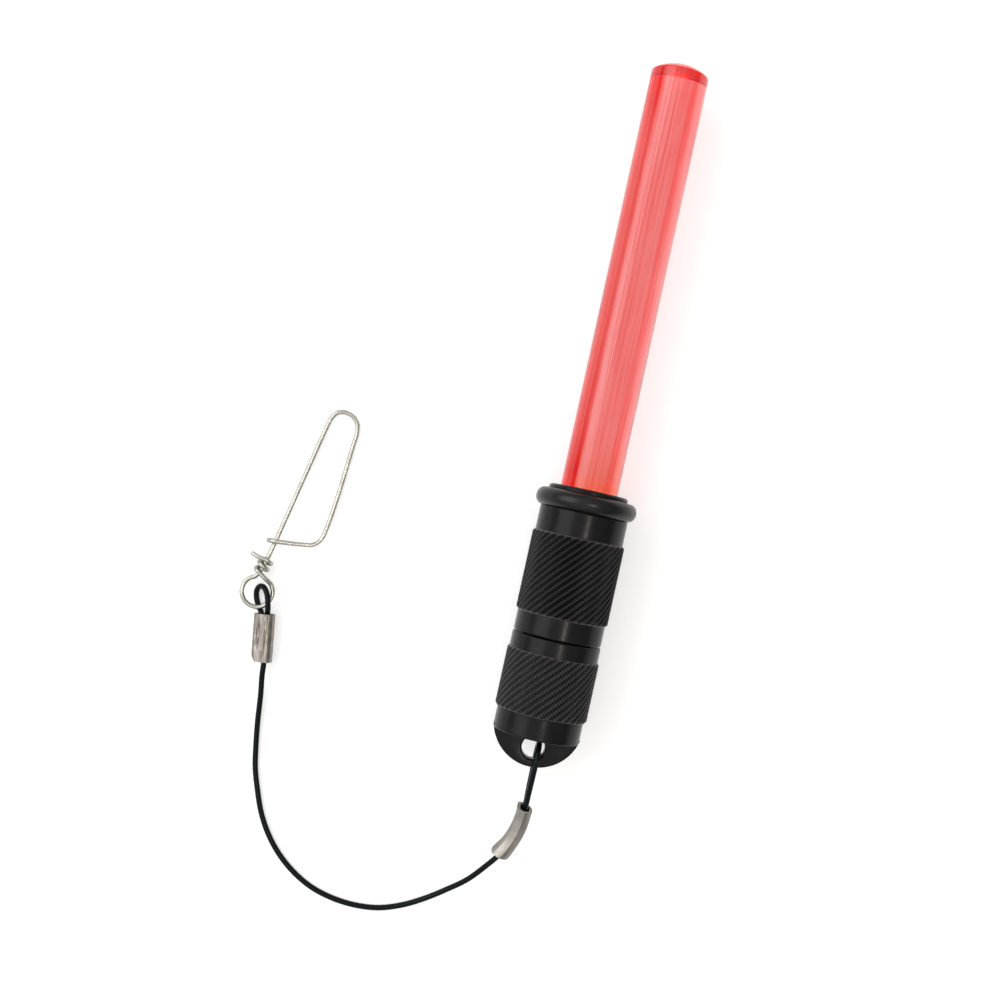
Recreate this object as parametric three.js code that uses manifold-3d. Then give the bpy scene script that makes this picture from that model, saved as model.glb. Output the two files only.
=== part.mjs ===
// Diver's light stick: a red acrylic rod in a knurled battery housing, with a screw tail cap,
// a steel-cable lanyard crimped through the cap's lug, and a bent-wire clip on the lanyard's end.
// It lies on the plane z = 0 with its axis along +Y, tail at -Y and rod tip at +Y.
// Lengths are millimetres. Stations are distances along Y from the middle of the stick.

import * as THREE from 'three';
import * as BufferGeometryUtils from 'three/addons/utils/BufferGeometryUtils.js';
import Module from 'manifold-3d';

// ---- driving dimensions ----
const STICK_LENGTH = 148.1;
const TIP = STICK_LENGTH / 2;
const TAIL = -STICK_LENGTH / 2;

const GAP = 0.3; // clearance between neighbouring pieces
const SEAT = 0.2; // clearance around a seal in its groove

const ROD_R = 6;
const ROD_DOME_R = 10;
const ROD_FLANGE_R = 7.1;
const ROD_FLANGE_THICK = 1.55;
const ROD_BASE = -24.6;

const COLLAR_FRONT = -15.9;
const COLLAR_R = 8.3;
const COLLAR_THICK = 0.95;
const COLLAR_SPIGOT_R = 7.15;
const COLLAR_SPIGOT_END = -21.6;

const BUMPER_SECTION_R = 1.6;
const BUMPER_CENTRE_R = 8.95;
const BUMPER_STATION = COLLAR_FRONT - COLLAR_THICK - GAP - BUMPER_SECTION_R;
const AXIS_Z = BUMPER_CENTRE_R + BUMPER_SECTION_R; // the bumper ring rests on the plane

const HEAD_FRONT = BUMPER_STATION - BUMPER_SECTION_R - GAP;
const KNURL_R = 9.7;
const KNURL_CHAMFER = 0.5;
const HEAD_NECK_R = 9.2;
const HEAD_KNURL_FRONT = -25.7;
const HEAD_KNURL_REAR = -42.7;
const SEAM = -47; // middle of the joint between head and tail cap
const HEAD_REAR = SEAM + GAP / 2;
const CAP_FRONT = SEAM - GAP / 2;

const CAP_NECK_R = 9.3;
const CAP_KNURL_FRONT = -50.3;
const CAP_KNURL_REAR = -63;
const CAP_TAIL_R = 9.05;
const CAP_REAR = -67.5;
const CAP_FLOOR = -64.2;

const THREAD_R = 7.9; // male thread's outside radius, shown plain
const THREAD_FRONT = -38.9;
const CAP_SEAL_SECTION_R = 0.55;
const CAP_SEAL_CENTRE_R = 7.75;
const CAP_SEAL_STATION = -46.4;
const SEAL_GROOVE_FRONT = -45.6;

const LUG_THICK = 3.5;
const LUG_R = 9.3;
const LUG_CENTRE = TAIL + LUG_R;
const LUG_HOLE_R = 2.4;
const LUG_HOLE_STATION = -70;

const CELL_R = 5.8; // LR44 button cell, 11.6 x 5.4 mm
const CELL_THICK = 5.4;
const CELL_COUNT = 4;
const CELL_SPACE = 0.2;
const CELLS_FRONT = -36.6;
const SLEEVE_INNER_R = 6;
const SLEEVE_OUTER_R = 6.3;
const BATTERY_BORE_R = 6.6;
const LAMP_BORE_R = 5.9;

const LED_DOME_TOP = -25.3;
const LED_R = 2.5;
const LED_RIM_R = 2.9;
const BOARD_FRONT = -34.4;
const BOARD_THICK = 1;

const CABLE_R = 0.6;
const WIRE_R = 0.475;
const FERRULE_HALF_WIDTH = 2.25;
const FERRULE_HALF_THICK = 1.55;
const FERRULE_WALL = 0.5;

const AROUND = 40; // facets round the housing
const AROUND_SMALL = 20; // facets round the pieces inside it

// ---- finishes ----
const finish = (color, roughness, metalness, more = {}) =>
  new THREE.MeshStandardMaterial({ color, roughness, metalness, ...more });
const blackAnodised = () => finish(0x2b292c, 0.45, 0.6);
const redAcrylic = () => finish(0xe2403c, 0.12, 0, { transparent: true, opacity: 0.75 });
const blackRubber = () => finish(0x1d1c1d, 0.6, 0);
const stainless = () => finish(0xbdb8aa, 0.28, 1);
const aluminium = () => finish(0xa89f96, 0.42, 0.9);
const brass = () => finish(0xc9a24a, 0.35, 1);
const whitePlastic = () => finish(0xe9e6df, 0.5, 0);

// ---- shape helpers ----
const vec = (list) => new THREE.Vector3(...list);

// A solid of revolution about Y from [radius, station] pairs, given upwards along the outside.
function turned(profile, facets = AROUND) {
  return new THREE.LatheGeometry(profile.map(([r, y]) => new THREE.Vector2(r, y)), facets);
}

// A plain ring or tube of rectangular section.
function tubeProfile(innerR, outerR, rear, front) {
  return [[innerR, rear], [outerR, rear], [outerR, front], [innerR, front], [innerR, rear]];
}

// Points on an arc in the radius-station plane, angles in degrees from the outward radius.
function arc(centreR, centreY, radius, fromDeg, toDeg, steps) {
  const points = [];
  for (let i = 0; i <= steps; i += 1) {
    const angle = THREE.MathUtils.degToRad(fromDeg + ((toDeg - fromDeg) * i) / steps);
    points.push([centreR + radius * Math.cos(angle), centreY + radius * Math.sin(angle)]);
  }
  return points;
}

function ringGeometry(centreR, station, sectionR, sides, facets = AROUND) {
  return turned(arc(centreR, station, sectionR, -90, 270, sides), facets);
}

function roundSection(radius, sides = 8) {
  const corners = [];
  for (let i = 0; i < sides; i += 1) {
    const angle = (2 * Math.PI * i) / sides;
    corners.push(new THREE.Vector2(radius * Math.cos(angle), radius * Math.sin(angle)));
  }
  return new THREE.Shape(corners);
}

function wireGeometry(points, radius, steps) {
  const extrudePath = new THREE.CatmullRomCurve3(points.map(vec), false, 'centripetal');
  return new THREE.ExtrudeGeometry(roundSection(radius), { extrudePath, steps, bevelEnabled: false });
}

function ovalPath(path, halfWidth, halfHeight) {
  const centre = halfWidth - halfHeight;
  path.absarc(centre, 0, halfHeight, -Math.PI / 2, Math.PI / 2);
  path.absarc(-centre, 0, halfHeight, Math.PI / 2, (3 * Math.PI) / 2);
  return path;
}

function piece(name, geometry, material) {
  const mesh = new THREE.Mesh(geometry, material);
  mesh.name = name;
  return mesh;
}

// ---- joining ----
const wasm = await Module();
wasm.setup();

function solid(geometry) {
  const bare = geometry.clone();
  bare.deleteAttribute('normal');
  bare.deleteAttribute('uv');
  const welded = BufferGeometryUtils.mergeVertices(bare, 1e-4);
  const index = welded.index.array;
  const triangles = [];
  for (let i = 0; i < index.length; i += 3) {
    const [a, b, c] = [index[i], index[i + 1], index[i + 2]];
    if (a !== b && b !== c && c !== a) triangles.push(a, b, c);
  }
  return new wasm.Manifold(new wasm.Mesh({
    numProp: 3,
    vertProperties: new Float32Array(welded.attributes.position.array),
    triVerts: new Uint32Array(triangles),
  }));
}

function geometryOf(manifold) {
  const mesh = manifold.getMesh();
  const geometry = new THREE.BufferGeometry();
  geometry.setAttribute('position', new THREE.BufferAttribute(new Float32Array(mesh.vertProperties), 3));
  geometry.setIndex(new THREE.BufferAttribute(new Uint32Array(mesh.triVerts), 1));
  return geometry;
}

// ---- light rod and its mounting ----
function lightRod() {
  const domeCentre = TIP - ROD_DOME_R;
  const rimDeg = THREE.MathUtils.radToDeg(Math.acos(ROD_R / ROD_DOME_R));
  const flangeFront = ROD_BASE + ROD_FLANGE_THICK;
  return piece('light_rod', turned([
    [0, ROD_BASE],
    [ROD_FLANGE_R, ROD_BASE],
    [ROD_FLANGE_R, flangeFront],
    [ROD_R, flangeFront],
    ...arc(0, domeCentre, ROD_DOME_R, rimDeg, 90, 6),
  ]), redAcrylic());
}

function rodRetainer() {
  const innerR = ROD_R + 0.25;
  const flangeRear = COLLAR_FRONT - COLLAR_THICK;
  const chamfer = 0.4;
  return piece('rod_retainer', turned([
    [innerR, COLLAR_SPIGOT_END],
    [COLLAR_SPIGOT_R, COLLAR_SPIGOT_END],
    [COLLAR_SPIGOT_R, flangeRear],
    [COLLAR_R, flangeRear],
    [COLLAR_R, COLLAR_FRONT - chamfer],
    [COLLAR_R - chamfer, COLLAR_FRONT],
    [innerR, COLLAR_FRONT],
    [innerR, COLLAR_SPIGOT_END],
  ]), blackAnodised());
}

function bumperRing() {
  const geometry = ringGeometry(BUMPER_CENTRE_R, BUMPER_STATION, BUMPER_SECTION_R, 12);
  return piece('bumper_o_ring', geometry, blackRubber());
}

function rodSeal() {
  const sectionR = 0.5;
  const centreR = ROD_R + SEAT + sectionR;
  const station = COLLAR_SPIGOT_END - 0.25 - sectionR;
  return piece('rod_seal_o_ring', ringGeometry(centreR, station, sectionR, 8, 32), blackRubber());
}

// ---- knurled housing ----
function headShell() {
  const shoulder = ROD_BASE - 0.25;
  const lampRear = -35.7;
  const sealBoreR = 8.45;
  const sealBoreFront = -45;
  const edge = 0.25;
  return piece('head_shell', turned([
    [sealBoreR, HEAD_REAR],
    [HEAD_NECK_R - edge, HEAD_REAR],
    [HEAD_NECK_R, HEAD_REAR + edge],
    [HEAD_NECK_R, HEAD_KNURL_REAR],
    [KNURL_R, HEAD_KNURL_REAR + KNURL_CHAMFER],
    [KNURL_R, HEAD_KNURL_FRONT - KNURL_CHAMFER],
    [HEAD_NECK_R, HEAD_KNURL_FRONT],
    [HEAD_NECK_R, HEAD_FRONT - edge],
    [HEAD_NECK_R - edge, HEAD_FRONT],
    [COLLAR_SPIGOT_R + GAP, HEAD_FRONT],
    [COLLAR_SPIGOT_R + GAP, shoulder],
    [LAMP_BORE_R, shoulder],
    [LAMP_BORE_R, lampRear],
    [BATTERY_BORE_R, lampRear],
    [BATTERY_BORE_R, THREAD_FRONT + GAP],
    [THREAD_R + GAP, THREAD_FRONT + GAP],
    [THREAD_R + GAP, sealBoreFront],
    [sealBoreR, sealBoreFront],
    [sealBoreR, HEAD_REAR],
  ]), blackAnodised());
}

function lugGeometry() {
  const rootDepth = 1; // how far the tongue runs into the cap's end wall
  const rootHalf = 8.8;
  const shoulderDeg = Math.asin((CAP_REAR - LUG_CENTRE) / LUG_R);
  const outline = new THREE.Shape();
  outline.moveTo(rootHalf, CAP_REAR + rootDepth);
  outline.lineTo(-rootHalf, CAP_REAR + rootDepth);
  outline.absarc(0, LUG_CENTRE, LUG_R, Math.PI - shoulderDeg, 2 * Math.PI + shoulderDeg);
  outline.closePath();
  const hole = new THREE.Path();
  hole.absarc(0, LUG_HOLE_STATION, LUG_HOLE_R, 0, 2 * Math.PI, true);
  outline.holes.push(hole);
  const geometry = new THREE.ExtrudeGeometry(outline, {
    depth: LUG_THICK, curveSegments: 28, bevelEnabled: false,
  });
  return geometry.translate(0, 0, -LUG_THICK / 2);
}

function tailCap() {
  const grooveR = CAP_SEAL_CENTRE_R - CAP_SEAL_SECTION_R - SEAT;
  const edge = 0.3;
  const cup = turned([
    [0, CAP_REAR],
    [CAP_TAIL_R - edge, CAP_REAR],
    [CAP_TAIL_R, CAP_REAR + edge],
    [CAP_TAIL_R, CAP_KNURL_REAR],
    [KNURL_R, CAP_KNURL_REAR + KNURL_CHAMFER],
    [KNURL_R, CAP_KNURL_FRONT - KNURL_CHAMFER],
    [CAP_NECK_R, CAP_KNURL_FRONT],
    [CAP_NECK_R, CAP_FRONT - edge],
    [CAP_NECK_R - edge, CAP_FRONT],
    [grooveR, CAP_FRONT],
    [grooveR, SEAL_GROOVE_FRONT],
    [THREAD_R, SEAL_GROOVE_FRONT],
    [THREAD_R, THREAD_FRONT - edge],
    [THREAD_R - edge, THREAD_FRONT],
    [BATTERY_BORE_R, THREAD_FRONT],
    [BATTERY_BORE_R, CAP_FLOOR],
    [0, CAP_FLOOR],
  ]);
  return piece('tail_cap', geometryOf(solid(cup).add(solid(lugGeometry()))), blackAnodised());
}

function capSeal() {
  const geometry = ringGeometry(CAP_SEAL_CENTRE_R, CAP_SEAL_STATION, CAP_SEAL_SECTION_R, 8, 32);
  return piece('cap_seal_o_ring', geometry, blackRubber());
}

// ---- lamp ----
function lampPieces() {
  const ledRear = LED_DOME_TOP - 8.8;
  const ledRimFront = ledRear + 1;
  const ledDomeCentre = LED_DOME_TOP - LED_R;
  const led = turned([
    [0, ledRear],
    [LED_RIM_R, ledRear],
    [LED_RIM_R, ledRimFront],
    [LED_R, ledRimFront],
    ...arc(0, ledDomeCentre, LED_R, 0, 90, 5),
  ], AROUND_SMALL);

  const holderOuterR = LAMP_BORE_R - GAP;
  const holder = turned(
    tubeProfile(LED_R + 0.25, holderOuterR, ledRimFront + SEAT, LED_DOME_TOP + SEAT), AROUND_SMALL);

  const boardRear = BOARD_FRONT - BOARD_THICK;
  const board = turned(
    [[0, boardRear], [holderOuterR, boardRear], [holderOuterR, BOARD_FRONT], [0, BOARD_FRONT]],
    AROUND_SMALL);

  const contactFront = boardRear - SEAT;
  const contact = turned([
    [0, contactFront - 0.7],
    [1.2, contactFront - 0.7],
    [2.2, contactFront - 0.4],
    [2.2, contactFront],
    [0, contactFront],
  ], AROUND_SMALL);

  const resistor = new THREE.BoxGeometry(1.6, 0.5, 0.8);
  resistor.translate(4.1, BOARD_FRONT + GAP + 0.25, 0);

  return [
    piece('led_emitter', led, finish(0xd8403a, 0.15, 0)),
    piece('led_holder', holder, whitePlastic()),
    piece('led_board', board, finish(0x1f6b3a, 0.5, 0)),
    piece('led_resistor', resistor, finish(0x222222, 0.5, 0)),
    piece('board_contact', contact, brass()),
  ];
}

// ---- batteries ----
function cellPieces() {
  const rim = 0.3;
  const step = 0.4;
  const pieces = [];
  for (let i = 0; i < CELL_COUNT; i += 1) {
    const front = CELLS_FRONT - i * (CELL_THICK + CELL_SPACE);
    const rear = front - CELL_THICK;
    const cell = turned([
      [0, rear],
      [CELL_R - 0.9, rear],
      [CELL_R - 0.9, rear + step],
      [CELL_R - rim, rear + step],
      [CELL_R, rear + step + rim],
      [CELL_R, front - rim],
      [CELL_R - rim, front],
      [0, front],
    ], AROUND_SMALL);
    pieces.push(piece(`button_cell_${i + 1}`, cell, stainless()));
  }
  const stackRear = CELLS_FRONT - CELL_COUNT * CELL_THICK - (CELL_COUNT - 1) * CELL_SPACE;
  const sleeve = turned(
    tubeProfile(SLEEVE_INNER_R, SLEEVE_OUTER_R, stackRear - 0.1, CELLS_FRONT + 0.2), 32);
  pieces.push(piece('cell_sleeve', sleeve, finish(0x2a5aa8, 0.4, 0)));
  return pieces;
}

function springPieces() {
  const springWireR = 0.3;
  const seatRear = CAP_FLOOR + GAP;
  const seatFront = seatRear + 0.4;
  const seatR = BATTERY_BORE_R - 0.4;
  const seat = turned([[0, seatRear], [seatR, seatRear], [seatR, seatFront], [0, seatFront]], AROUND_SMALL);

  const from = seatFront + GAP + springWireR;
  const to = -59.4;
  const turns = 3.25;
  const pointsPerTurn = 12;
  const count = Math.round(turns * pointsPerTurn);
  const points = [];
  for (let i = 0; i <= count; i += 1) {
    const t = i / count;
    const angle = 2 * Math.PI * turns * t;
    const radius = THREE.MathUtils.lerp(5, 2.6, t);
    points.push([radius * Math.cos(angle), THREE.MathUtils.lerp(from, to, t), radius * Math.sin(angle)]);
  }
  return [
    piece('spring_seat', seat, brass()),
    piece('contact_spring', wireGeometry(points, springWireR, 60), stainless()),
  ];
}

// ---- lanyard ----
// Middle line of each crimp sleeve, from its loop end to its cable end.
const LUG_FERRULE = { from: [1.1, -83.0, 9.6], to: [-1.9, -93.8, 7.6], bulge: 0.85, rollDeg: 90 };
const CLIP_FERRULE = { from: [-61.35, -56.1, 2.0], to: [-59.9, -66.2, 2.0], bulge: 0, rollDeg: 35 };

// The cable's middle line: dead end in the lug ferrule, loop up through the lug's hole, back through
// the ferrule, round over the table, through the clip ferrule, round the clip's eye, and back into it.
const CABLE_ROUTE = [
  [-1.4, -93.0, 7.0],
  [0.45, -88.4, 7.85],
  [1.1, -83.0, 8.85],
  [1.1, -79.5, 8.25],
  [1.1, -76.0, 7.9],
  [1.1, -71.8, 7.9],
  [1.1, -69.93, 8.68],
  [1.1, -69.15, 10.55],
  [1.1, -69.93, 12.42],
  [1.1, -71.8, 13.2],
  [1.1, -75.0, 13.1],
  [1.1, -79.0, 11.9],
  [1.1, -83.0, 10.35],
  [0.45, -88.4, 9.35],
  [-1.9, -93.8, 8.35],
  [-4.0, -97.0, 7.2],
  [-7.2, -101.3, 5.0],
  [-11.0, -104.9, 2.9],
  [-15.2, -108.2, 1.5],
  [-19.6, -110.8, 0.8],
  [-24.4, -112.5, 0.65],
  [-29.4, -113.0, 0.65],
  [-34.3, -112.6, 0.65],
  [-39.2, -111.3, 0.65],
  [-43.6, -109.0, 0.65],
  [-47.5, -105.9, 0.65],
  [-50.7, -102.2, 0.65],
  [-53.2, -98.0, 0.65],
  [-55.0, -93.5, 0.65],
  [-56.5, -88.9, 0.65],
  [-57.4, -84.1, 0.7],
  [-58.1, -79.0, 0.9],
  [-58.6, -73.3, 1.5],
  [-59.1, -69.0, 2.2],
  [-59.3, -66.1, 2.43],
  [-60.05, -61.1, 2.43],
  [-60.75, -56.0, 2.45],
  [-60.8, -54.9, 2.9],
  [-61.0, -53.6, 3.4],
  [-61.4, -52.3, 3.3],
  [-62.0, -51.2, 2.9],
  [-62.9, -50.5, 2.2],
  [-63.8, -50.7, 1.4],
  [-64.25, -51.7, 0.9],
  [-64.1, -53.0, 0.65],
  [-63.6, -54.2, 0.62],
  [-63.0, -55.2, 0.8],
  [-62.2, -56.1, 1.5],
  [-61.25, -61.3, 1.57],
  [-60.65, -65.4, 1.57],
];

function cableGeometry() {
  return wireGeometry(CABLE_ROUTE, CABLE_R, 80);
}

// An oval crimp sleeve with an open bore, bent sideways by bulge at its middle.
function ferrule(name, { from, to, bulge, rollDeg }) {
  const start = vec(from);
  const along = vec(to).sub(start);
  const length = along.length();
  const section = ovalPath(new THREE.Shape(), FERRULE_HALF_WIDTH, FERRULE_HALF_THICK);
  const boreWidth = FERRULE_HALF_WIDTH - FERRULE_WALL;
  const boreThick = FERRULE_HALF_THICK - FERRULE_WALL;
  section.holes.push(ovalPath(new THREE.Path(), boreWidth, boreThick));
  const geometry = new THREE.ExtrudeGeometry(section, {
    depth: length, steps: bulge ? 6 : 1, curveSegments: 6, bevelEnabled: false,
  });

  const zAxis = along.normalize();
  const xAxis = new THREE.Vector3(0, 0, 1).cross(zAxis).normalize();
  const yAxis = zAxis.clone().cross(xAxis);
  const turn = new THREE.Matrix4().makeRotationZ(THREE.MathUtils.degToRad(rollDeg));
  geometry.applyMatrix4(turn);
  const position = geometry.attributes.position;
  for (let i = 0; i < position.count; i += 1) {
    const t = (2 * position.getZ(i)) / length - 1;
    position.setX(i, position.getX(i) + bulge * (1 - t * t));
  }
  geometry.deleteAttribute('normal');

  const mesh = piece(name, geometry, aluminium());
  mesh.quaternion.setFromRotationMatrix(new THREE.Matrix4().makeBasis(xAxis, yAxis, zAxis));
  mesh.position.copy(start);
  return mesh;
}

// ---- wire clip ----
const EYE_CENTRE = [-63.95, -51.8, 2.0];
const EYE_R = 3.2;
const COIL_FROM = [-64.3, -47.6, 2.0];
const COIL_TO = [-63.4, -44.7, 1.95];
const COIL_R = 1.13;
const COIL_TURNS = 2;
const SHANK_CROSSING = [-62.45, -40.5, 1.77];
const CLIP_TOP = [-54.1, -10.4, 0.5]; // middle of the top bend, where the gate flexes

// Fixed side: stray tail, wraps round the shank, eye, shank and long side up to the top bend.
function clipFrame() {
  const from = vec(COIL_FROM);
  const to = vec(COIL_TO);
  const along = to.clone().sub(from).normalize();
  const side = along.clone().cross(new THREE.Vector3(0, 0, 1)).normalize();
  const points = [[-66.4, -44.0, 2.9], [-64.9, -44.5, 3.1]];
  const pointsPerTurn = 10;
  const count = COIL_TURNS * pointsPerTurn;
  for (let i = 0; i <= count; i += 1) {
    const angle = Math.PI / 2 - (2 * Math.PI * i) / pointsPerTurn;
    const centre = to.clone().lerp(from, i / count);
    const x = centre.x + side.x * COIL_R * Math.cos(angle);
    const y = centre.y + side.y * COIL_R * Math.cos(angle);
    points.push([x, y, centre.z + COIL_R * Math.sin(angle)]);
  }
  points.push([-62.9, -48.6, 2.85]);
  const eyeFromDeg = 38;
  const eyeToDeg = -250;
  const eyeSteps = 12;
  for (let i = 0; i <= eyeSteps; i += 1) {
    const angle = THREE.MathUtils.degToRad(eyeFromDeg + ((eyeToDeg - eyeFromDeg) * i) / eyeSteps);
    points.push([
      EYE_CENTRE[0] + EYE_R * Math.cos(angle),
      EYE_CENTRE[1] + EYE_R * Math.sin(angle),
      EYE_CENTRE[2],
    ]);
  }
  points.push(
    COIL_FROM,
    COIL_TO,
    SHANK_CROSSING,
    [-61.6, -36.4, 1.6],
    [-59.35, -25.2, 1.1],
    [-57.2, -14.6, 0.6],
    [-56.6, -12.3, 0.5],
    [-55.6, -10.9, 0.5],
    [CLIP_TOP[0] - GAP / 2, CLIP_TOP[1] - 0.02, CLIP_TOP[2]],
  );
  return piece('clip_frame', wireGeometry(points, WIRE_R, 112), stainless());
}

// Sprung side: down from the top bend, round the corner, across, and hooked round the shank.
function clipGate() {
  const [x, y, z] = SHANK_CROSSING;
  const hook = 1.28; // hook's middle line from the shank's
  const points = [
    [CLIP_TOP[0] + GAP / 2, CLIP_TOP[1] - 0.02, CLIP_TOP[2]],
    [-52.3, -10.9, 0.5],
    [-50.95, -12.3, 0.5],
    [-50.6, -14.1, 0.5],
    [-50.85, -17.8, 0.55],
    [-51.7, -28.8, 0.8],
    [-52.5, -35.6, 1.1],
    [-53.1, -38.1, 1.3],
    [-54.4, -39.5, 1.6],
    [-56.8, -40.0, 2.1],
    [-60.3, -40.35, 2.8],
    [x, y, z + hook],
    [x - 1.0, y - 0.05, z + 0.85],
    [x - 1.45, y - 0.1, z],
    [x - 1.0, y - 0.1, z - 0.9],
    [x, y - 0.05, z - hook],
  ];
  return piece('clip_gate', wireGeometry(points, WIRE_R, 60), stainless());
}

// ---- assembly ----
const group = new THREE.Group();

const stick = new THREE.Group();
stick.position.z = AXIS_Z;
stick.add(
  lightRod(), rodRetainer(), bumperRing(), rodSeal(), headShell(),
  ...lampPieces(), ...cellPieces(),
  tailCap(), capSeal(), ...springPieces(),
);

const lanyard = new THREE.Group();
lanyard.add(
  piece('lanyard_cable', cableGeometry(), finish(0x16181a, 0.5, 0)),
  ferrule('lug_crimp_sleeve', LUG_FERRULE),
  ferrule('clip_crimp_sleeve', CLIP_FERRULE),
  clipFrame(),
  clipGate(),
);

group.add(stick, lanyard);

export default group;
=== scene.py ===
import math

import bmesh
import bpy
import numpy as np
from mathutils import Matrix, Vector


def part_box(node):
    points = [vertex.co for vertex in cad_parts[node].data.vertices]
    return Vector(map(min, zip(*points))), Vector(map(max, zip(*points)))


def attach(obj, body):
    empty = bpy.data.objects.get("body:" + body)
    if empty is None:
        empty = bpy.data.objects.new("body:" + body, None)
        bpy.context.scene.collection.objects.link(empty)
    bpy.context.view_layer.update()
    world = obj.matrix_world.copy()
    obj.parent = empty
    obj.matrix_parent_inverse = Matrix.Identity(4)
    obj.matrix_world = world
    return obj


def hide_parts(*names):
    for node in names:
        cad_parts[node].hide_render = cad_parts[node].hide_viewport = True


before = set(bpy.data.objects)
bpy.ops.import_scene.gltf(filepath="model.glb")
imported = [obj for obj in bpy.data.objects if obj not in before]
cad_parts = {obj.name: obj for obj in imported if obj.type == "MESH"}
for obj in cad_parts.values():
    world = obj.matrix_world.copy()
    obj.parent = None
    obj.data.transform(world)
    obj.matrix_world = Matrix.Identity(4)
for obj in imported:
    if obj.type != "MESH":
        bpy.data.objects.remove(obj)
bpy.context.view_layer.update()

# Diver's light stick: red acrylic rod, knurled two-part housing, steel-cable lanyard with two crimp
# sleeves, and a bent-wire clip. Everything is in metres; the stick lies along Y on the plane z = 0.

MM = 0.001
FULL_TURN = 2 * math.pi


class Turned:
    """Where a CAD node turned about the stick's axis lies: its two ends along Y and its radius."""

    def __init__(self, node):
        low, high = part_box(node)
        self.rear = low.y
        self.front = high.y
        self.radius = (high.x - low.x) / 2
        self.axis_z = (high.z + low.z) / 2


ROD = Turned("light_rod")
COLLAR = Turned("rod_retainer")
BUMPER = Turned("bumper_o_ring")
ROD_SEAL = Turned("rod_seal_o_ring")
HEAD = Turned("head_shell")
CAP = Turned("tail_cap")
CAP_SEAL = Turned("cap_seal_o_ring")
SPRING_SEAT = Turned("spring_seat")
SPRING = Turned("contact_spring")
LED = Turned("led_emitter")
HOLDER = Turned("led_holder")
BOARD = Turned("led_board")
CONTACT = Turned("board_contact")
SLEEVE = Turned("cell_sleeve")
CELLS = [Turned(f"button_cell_{i + 1}") for i in range(4)]
AXIS_Z = HEAD.axis_z

# ---- driving dimensions that the boxes don't hold ----
ROD_R = 6 * MM
ROD_DOME_R = 10 * MM
ROD_FLANGE_THICK = 1.55 * MM
COLLAR_THICK = 0.95 * MM
COLLAR_SPIGOT_R = 7.15 * MM

KNURL_CHAMFER = 0.5 * MM
HEAD_NECK_R = 9.2 * MM
HEAD_KNURL_FRONT = HEAD.front - 5.05 * MM
HEAD_KNURL_REAR = HEAD.rear + 4.15 * MM
HEAD_SHOULDER = ROD.rear - 0.25 * MM
CAP_NECK_R = 9.3 * MM
CAP_TAIL_R = 9.05 * MM
CAP_SEAM = HEAD.rear - 0.3 * MM
CAP_KNURL_FRONT = CAP_SEAM - 3.15 * MM
CAP_KNURL_REAR = CAP_KNURL_FRONT - 12.7 * MM
CAP_END = CAP_KNURL_REAR - 4.5 * MM
CAP_FLOOR = CAP_END + 3.3 * MM
CAP_SEAL_GROOVE_R = 7 * MM
CAP_SEAL_GROOVE_FRONT = CAP_SEAM + 1.55 * MM

BATTERY_BORE_R = 6.6 * MM
LAMP_BORE_R = 5.9 * MM
LAMP_BORE_REAR = BOARD.rear - 0.3 * MM
SEAL_BORE_R = 8.45 * MM
SEAL_BORE_FRONT = HEAD.rear + 1.85 * MM
THREAD_R = 7.9 * MM
THREAD_DEPTH = 0.55 * MM
THREAD_PITCH = 1 * MM
THREAD_CLEARANCE = 0.3 * MM

LUG_THICK = 3.5 * MM
LUG_R = 9.3 * MM
LUG_CENTRE = CAP.rear + LUG_R
LUG_HOLE_R = 2.4 * MM
LUG_HOLE = CAP.rear + 4.05 * MM

KNURL_STARTS = 36
HEAD_FINE_STARTS = 90
CAP_FINE_STARTS = 72
AROUND_HOUSING = 540
AROUND_INNER = 96
KNURL_CUT = 0.3 * MM  # depth of the main grooves
FINE_CUT = 0.25 * MM  # depth of the finer grooves that cross them
CREST_DEPTH = 0.16 * MM  # a knurl's crests, lightened for wear and a painted highlight, end this far down
GROOVE_SHADE_DEPTH = 0.45 * MM  # and the painted shade in its grooves is darkest from here
LEAST_PATTERN = 0.02 * MM  # a ring cut less unevenly than this counts as plain

CABLE_R = 0.6 * MM
WIRE_R = 0.475 * MM


# ---- mesh making ----
def add_object(name, data):
    """A new object of the scene that shows this mesh, lamp or camera."""
    made = bpy.data.objects.new(name, data)
    bpy.context.scene.collection.objects.link(made)
    return made


def new_piece(name, points, faces, sharp_angle=40):
    """A mesh object from points and faces, with its normals outward and its real edges kept sharp."""
    mesh = bpy.data.meshes.new(name)
    mesh.from_pydata([tuple(p) for p in points], [], [tuple(f) for f in faces])
    work = bmesh.new()
    work.from_mesh(mesh)
    bmesh.ops.recalc_face_normals(work, faces=work.faces)
    work.to_mesh(mesh)
    work.free()
    mesh.shade_smooth()
    mesh.set_sharp_from_angle(angle=math.radians(sharp_angle))
    return add_object(name, mesh)


def ring_quads(rings, around, closed):
    """Quads between neighbouring rings of points; closed joins the last ring to the first."""
    row = np.arange(rings if closed else rings - 1)[:, None]
    column = np.arange(around)[None, :]
    here = row * around + column
    beside = row * around + (column + 1) % around
    over = ((row + 1) % rings) * around
    quads = np.stack([here, beside, over + (column + 1) % around, over + column], axis=-1)
    return quads.reshape(-1, 4).tolist()


def lofted(name, rings, closed=False, sharp_angle=40):
    """A skin over rings of points, an array (ring, point, xyz), with flat ends unless it is closed."""
    count, around = rings.shape[:2]
    faces = ring_quads(count, around, closed)
    if not closed:
        faces.append(list(range(around)))
        faces.append(list(range((count - 1) * around, count * around)))
    return new_piece(name, rings.reshape(-1, 3), faces, sharp_angle)


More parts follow.
